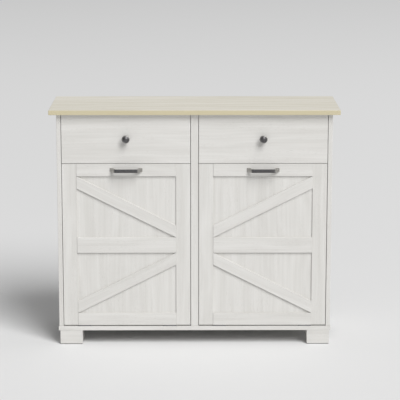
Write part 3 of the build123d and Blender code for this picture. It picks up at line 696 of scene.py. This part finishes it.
def brace(name, side, upper, body, node):
    """One brace: a strip from an outer corner of its opening to the opposite corner."""
    sign = SIDES[side]
    (_, left_stile_high), (right_stile_low, _) = pair_boxes(f"door_{side}_stiles", 0)
    (_, bottom_rail_high), (top_rail_low, _) = pair_boxes(f"door_{side}_end_rails", 2)
    mid_low, mid_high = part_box(f"door_{side}_mid_rail")
    left, right = left_stile_high[0], right_stile_low[0]
    outer = left if sign < 0 else right
    base = mid_high.z if upper else mid_low.z
    rise = 1.0 if upper else -1.0
    width = right - left
    height = abs((top_rail_low[2] if upper else bottom_rail_high[2]) - base)
    slope = math.acos(brace_width / math.hypot(width, height)) - math.atan2(width, height)
    end_height = brace_width / math.cos(slope)
    strip = [(0.0, height), (width, end_height), (width, 0.0), (0.0, height - end_height)]
    outline = [(outer - sign * u, base + rise * v) for u, v in strip]
    if signed_area(outline) < 0:
        outline = outline[::-1]
    axes = (AXES[0], AXES[2], -AXES[1])
    points, faces, normals = slab(outline, -mid_high.y, -mid_low.y, strip_ease, axes)
    along = np.array([-sign * math.cos(slope), 0.0, -rise * math.sin(slope)])
    stored = {"grain": board_grain(points, along, AXES[1])}
    return new_piece(name, points, faces, normals, white_wood, body, node, stored)


for side in SIDES:
    for upper, label in ((True, "upper"), (False, "lower")):
        brace(f"door_{side}_brace_{label}", side, upper, f"door_{side}", f"door_{side}_braces")
print("boards with braces:", len(grain_shifts))

# %% [markdown]
# The knobs are turned metal: a foot, a waisted neck and a mushroom head with a bead round a
# shallow dome. The outline is a chain of Bezier curves, carried round the knob's axis.

# %% Turned knobs
knob_segments = 64
bead_radius = 13.2 * MM
bead_reach = 20.0 * MM
bead_fade = 3.2 * MM


def bezier(points, steps):
    """A cubic curve: the four points weighted by (1-t)^3, 3t(1-t)^2, 3t^2(1-t) and t^3."""
    t = np.linspace(0.0, 1.0, steps + 1)[:, None]
    a, b, c, d = (np.array(point, float) for point in points)
    return (1 - t) ** 3 * a + 3 * t * (1 - t) ** 2 * b + 3 * t**2 * (1 - t) * c + t**3 * d


def lathe(profile, segments, centre, axis, side_way):
    """Point = centre + distance * axis + radius * (cos turn * side + sin turn * up).

    profile's rows are (radius, distance), and its last one is the pole, where the radius is 0.
    """
    turn = np.linspace(0.0, 2 * np.pi, segments, endpoint=False)
    axis, side_way = np.array(axis, float), np.array(side_way, float)
    up_way = np.cross(axis, side_way)
    ring = np.cos(turn)[:, None] * side_way + np.sin(turn)[:, None] * up_way
    body_rows = profile[:-1]
    points = (
        np.array(centre)
        + body_rows[:, 1][:, None, None] * axis
        + body_rows[:, 0][:, None, None] * ring[None]
    ).reshape(-1, 3)
    pole = np.array(centre) + profile[-1, 1] * axis
    points = np.vstack([points, pole])
    first_ring, last_ring = end_caps(len(body_rows), segments)
    faces = ring_faces(len(body_rows), segments) + [first_ring]
    faces += [(a, b, len(points) - 1) for a, b in zip(last_ring, last_ring[1:] + last_ring[:1])]
    return points, faces


def knob_profile():
    """Radius and distance from the drawer, in metres, from the foot to the dome's middle."""
    start = (9.0, 0.0)
    curves = [  # in millimetres: two handles, the end, and the steps
        ((9.0, 1.6), (8.8, 2.4), (7.4, 3.0), 8),  # the foot's edge
        ((5.6, 4.0), (5.4, 9.0), (6.6, 12.0), 14),  # the waist
        ((8.0, 14.6), (13.2, 14.6), (13.9, 17.0), 14),  # under the head
        ((14.3, 19.0), (13.4, 21.0), (11.6, 21.3), 12),  # the bead
        ((10.6, 21.4), (10.6, 20.6), (10.0, 20.7), 8),  # the groove inside the bead
        ((8.6, 21.6), (5.0, 24.8), (0.0, 24.8), 14),  # the dome
    ]
    rows = [np.array([start])]
    for first_handle, second_handle, end, steps in curves:
        rows.append(bezier((start, first_handle, second_handle, end), steps)[1:])
        start = end
    return np.vstack(rows) * MM


def knob_painted_reflection(points, centre):
    """1 on the bead round the head, where a paler tone is painted as a highlight, falling to 0 a
    few millimetres away.
    """
    radius = np.hypot(points[:, 0] - centre[0], points[:, 2] - centre[2])
    reach = centre[1] - points[:, 1]
    from_bead = np.hypot(radius - bead_radius, reach - bead_reach)
    return np.clip(1.0 - from_bead / bead_fade, 0.0, 1.0)


for side in SIDES:
    node = f"drawer_{side}_knob"
    low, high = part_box(node)
    centre = ((low.x + high.x) / 2, high.y, (low.z + high.z) / 2)
    points, faces = lathe(knob_profile(), knob_segments, centre, (0, -1, 0), (1, 0, 0))
    # Painted highlight: the paler tone on the bead round each knob head.
    stored = {"painted_reflection": knob_painted_reflection(points, centre)}
    name, body = f"{node}_turned", f"drawer_{side}"
    new_piece(name, points, faces, None, pewter, body, node, stored)
print("knob points:", len(points))

# %% [markdown]
# Each door has a bridge pull: a flat bar, standing off on two legs that lean outward and flare
# where they meet the door. An outer and an inner line are drawn as seen from above. The section
# between them is a rounded rectangle whose height grows towards the feet. A paler tone is painted
# on the legs from the bar's ends on, as painted reflection of the bright studio.

# %% Bridge handles
leg_points = 14
bend_steps = 8
handle_round = 40
foot_half_height = 7.0 * MM
bar_half_height = 6.0 * MM
flare_length = 14.0 * MM
squareness = 0.3  # 1 is an ellipse, 0 a rectangle
# Where the painted reflection on the handle legs begins, and over what length it fades in.
painted_reflection_from = 36.0 * MM  # from the handle's middle
painted_reflection_over = 4.0 * MM


def side_line(foot, bend, reach):
    """Half of a handle's line from above: straight leg, round bend, then half the bar.

    The bend is a cubic curve that leaves each straight at this reach from their corner.
    """
    foot, bend = np.array(foot), np.array(bend)
    back = foot - bend
    leg_end = bend + back / np.linalg.norm(back) * reach
    bar_start = bend - np.array([reach, 0.0])
    share = np.linspace(0.0, 1.0, leg_points)[:, None]
    leg = foot + (leg_end - foot) * share
    handles = ((leg_end + 2 * bend) / 3, (bar_start + 2 * bend) / 3)
    round_bend = bezier((leg_end, *handles, bar_start), bend_steps)
    middle = np.array([0.0, bend[1]])
    bar = bar_start + (middle - bar_start) * share
    return np.vstack([leg, round_bend[1:-1], bar])


def handle_surface(centre):
    """Point = middle line + half gap * cos turn + half height * sin turn.

    The cosine and the sine are raised to a small power, which squares up the section.
    """
    outer = side_line(foot=(56.5, 0.0), bend=(39.5, -25.0), reach=6.0) * MM
    inner = side_line(foot=(43.0, 0.0), bend=(35.5, -18.5), reach=4.0) * MM
    outer = np.vstack([outer, outer[-2::-1] * [-1, 1]])
    inner = np.vstack([inner, inner[-2::-1] * [-1, 1]])
    middle, half = (outer + inner) / 2, (outer - inner) / 2
    leg_share = np.clip(-middle[:, 1] / flare_length, 0.0, 1.0)
    rise = bar_half_height + (foot_half_height - bar_half_height) * (1.0 - leg_share) ** 2
    turn = np.linspace(0.0, 2 * np.pi, handle_round, endpoint=False)
    wide = np.sign(np.cos(turn)) * np.abs(np.cos(turn)) ** squareness
    tall = np.sign(np.sin(turn)) * np.abs(np.sin(turn)) ** squareness
    flat = middle[:, None, :] + half[:, None, :] * wide[None, :, None]
    height = rise[:, None] * tall[None, :]
    points = np.concatenate([flat, height[..., None]], axis=-1).reshape(-1, 3) + np.array(centre)
    # Painted reflection: the legs get the paler tone that stands for the bright studio they
    # reflect.
    legs = np.clip((np.abs(middle[:, 0]) - painted_reflection_from) / painted_reflection_over, 0.0, 1.0)
    painted_reflection = np.repeat(legs, handle_round)
    faces = ring_faces(len(middle), handle_round) + end_caps(len(middle), handle_round)
    return points, faces, painted_reflection


for side in SIDES:
    node = f"door_{side}_handle"
    low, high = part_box(node)
    centre = ((low.x + high.x) / 2, high.y, (low.z + high.z) / 2)
    points, faces, painted_reflection = handle_surface(centre)
    name, body = f"{node}_cast", f"door_{side}"
    stored = {"painted_reflection": painted_reflection}
    new_piece(name, points, faces, None, pewter, body, node, stored)
print("handle points:", len(points))

# %% [markdown]
# Everything else keeps its CAD shape and only needs its finish: inner boards, the back, the
# runners, hinges, catches and fasteners.

# %% Finishes on the CAD pieces


def cad_finish(node):
    """The finish of a CAD node that is still shown."""
    if node == "carcass_dowels":
        return beech
    if node == "magnet_catches":
        return catch_white
    if node == "back_panel" or node.endswith("_bottom"):
        return back_white
    if node.startswith("hinge_") or "_hinge_" in node:
        return dull_zinc
    metal_words = ("screws", "fasteners", "cam_", "runners", "strike")
    if any(word in node for word in metal_words):
        return zinc
    return inner_white


shown = [name for name, item in cad_nodes.items() if not item.hide_render]
for name in shown:
    for slot in cad_nodes[name].material_slots:
        slot.material = cad_finish(name)
print("CAD pieces with a finish:", len(shown))
